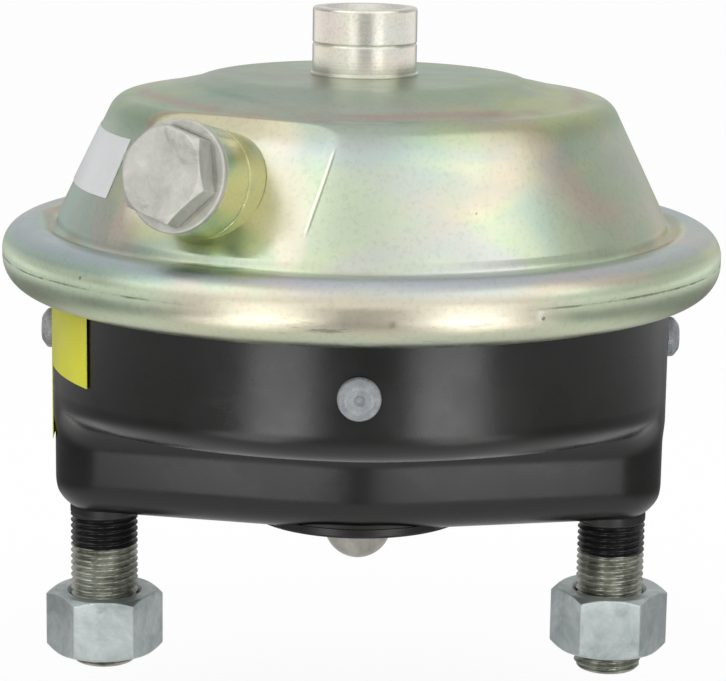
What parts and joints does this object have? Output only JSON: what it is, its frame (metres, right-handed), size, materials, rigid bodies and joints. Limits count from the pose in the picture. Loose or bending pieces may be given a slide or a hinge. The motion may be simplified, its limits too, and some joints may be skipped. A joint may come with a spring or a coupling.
{
  "type": "air brake chamber",
  "caption": "Diaphragm brake chamber for an air disc brake: zinc-plated pressure cover with top and side air ports, black body with mounting studs, spring-returned push rod.",
  "frame": {"origin": "centre of the mounting face, midway between the two studs", "axes": "+Z from the mounting face to the top air port, X through both studs with the plugged side port towards -X, -Y is the front"},
  "size_m": [0.1662, 0.1662, 0.1569],
  "materials": {
    "zinc_cover": "satin, iridescent zinc plating",
    "zinc_boss": "satin, yellow-green zinc plating",
    "plug_steel": "satin, bright zinc plating",
    "seal_rubber": "matte",
    "black_paint": "satin",
    "diaphragm_rubber": "matte",
    "push_steel": "satin",
    "spring_steel": "satin",
    "bellows_rubber": "matte",
    "clamp_steel": "satin",
    "stud_steel": "dull, dark",
    "nut_steel": "satin, pale zinc plating",
    "white_label": "matte",
    "yellow_label": "matte",
    "vent_plastic": "translucent"
  },
  "bodies": {
    "chamber": {"cover": "zinc_cover", "top_port_boss": "zinc_boss", "side_port_boss": "zinc_boss", "housing": "black_paint", "mounting_seal_ring": "seal_rubber", "bellows_clamp_ring": "clamp_steel", "rating_label": "white_label", "body_label": "yellow_label", "diaphragm": "diaphragm_rubber", "return_spring": "spring_steel", "bellows": "bellows_rubber", "stud_left": "stud_steel", "stud_right": "stud_steel"},
    "rod": {"push_plate": "push_steel", "push_rod": "push_steel"},
    "left_nut": {"nut_left": "nut_steel"},
    "right_nut": {"nut_right": "nut_steel"},
    "side_plug": {"side_port_plug": "plug_steel", "side_port_seal": "seal_rubber"},
    "front_vent": {"vent_plug_front": "vent_plastic"},
    "right_vent": {"vent_plug_right": "vent_plastic"},
    "back_vent": {"vent_plug_back": "vent_plastic"},
    "left_vent": {"vent_plug_left": "vent_plastic"}
  },
  "joints": [
    {"name": "push_rod_stroke", "type": "slide", "parent": "chamber", "child": "rod", "axis": [0, 0, -1], "range_m": [0, 0.057], "stiffness_N_per_m": 1500, "springref_m": -0.04, "deforming": ["diaphragm", "return_spring", "bellows"]},
    {"name": "nut_left_travel", "type": "slide", "parent": "chamber", "child": "left_nut", "axis": [0, 0, 1], "range_m": [-0.018, 0.0208]},
    {"name": "nut_right_travel", "type": "slide", "parent": "chamber", "child": "right_nut", "axis": [0, 0, 1], "range_m": [-0.0203, 0.0185]},
    {"name": "side_plug_removal", "type": "slide", "parent": "chamber", "child": "side_plug", "axis": [-0.4986, -0.8299, 0.2504], "range_m": [0, 0.014]},
    {"name": "front_vent_removal", "type": "slide", "parent": "chamber", "child": "front_vent", "axis": [0, -1, 0], "range_m": [0, 0.008]},
    {"name": "right_vent_removal", "type": "slide", "parent": "chamber", "child": "right_vent", "axis": [1, 0, 0], "range_m": [0, 0.008]},
    {"name": "back_vent_removal", "type": "slide", "parent": "chamber", "child": "back_vent", "axis": [0, 1, 0], "range_m": [0, 0.008]},
    {"name": "left_vent_removal", "type": "slide", "parent": "chamber", "child": "left_vent", "axis": [-1, 0, 0], "range_m": [0, 0.008]}
  ]
}
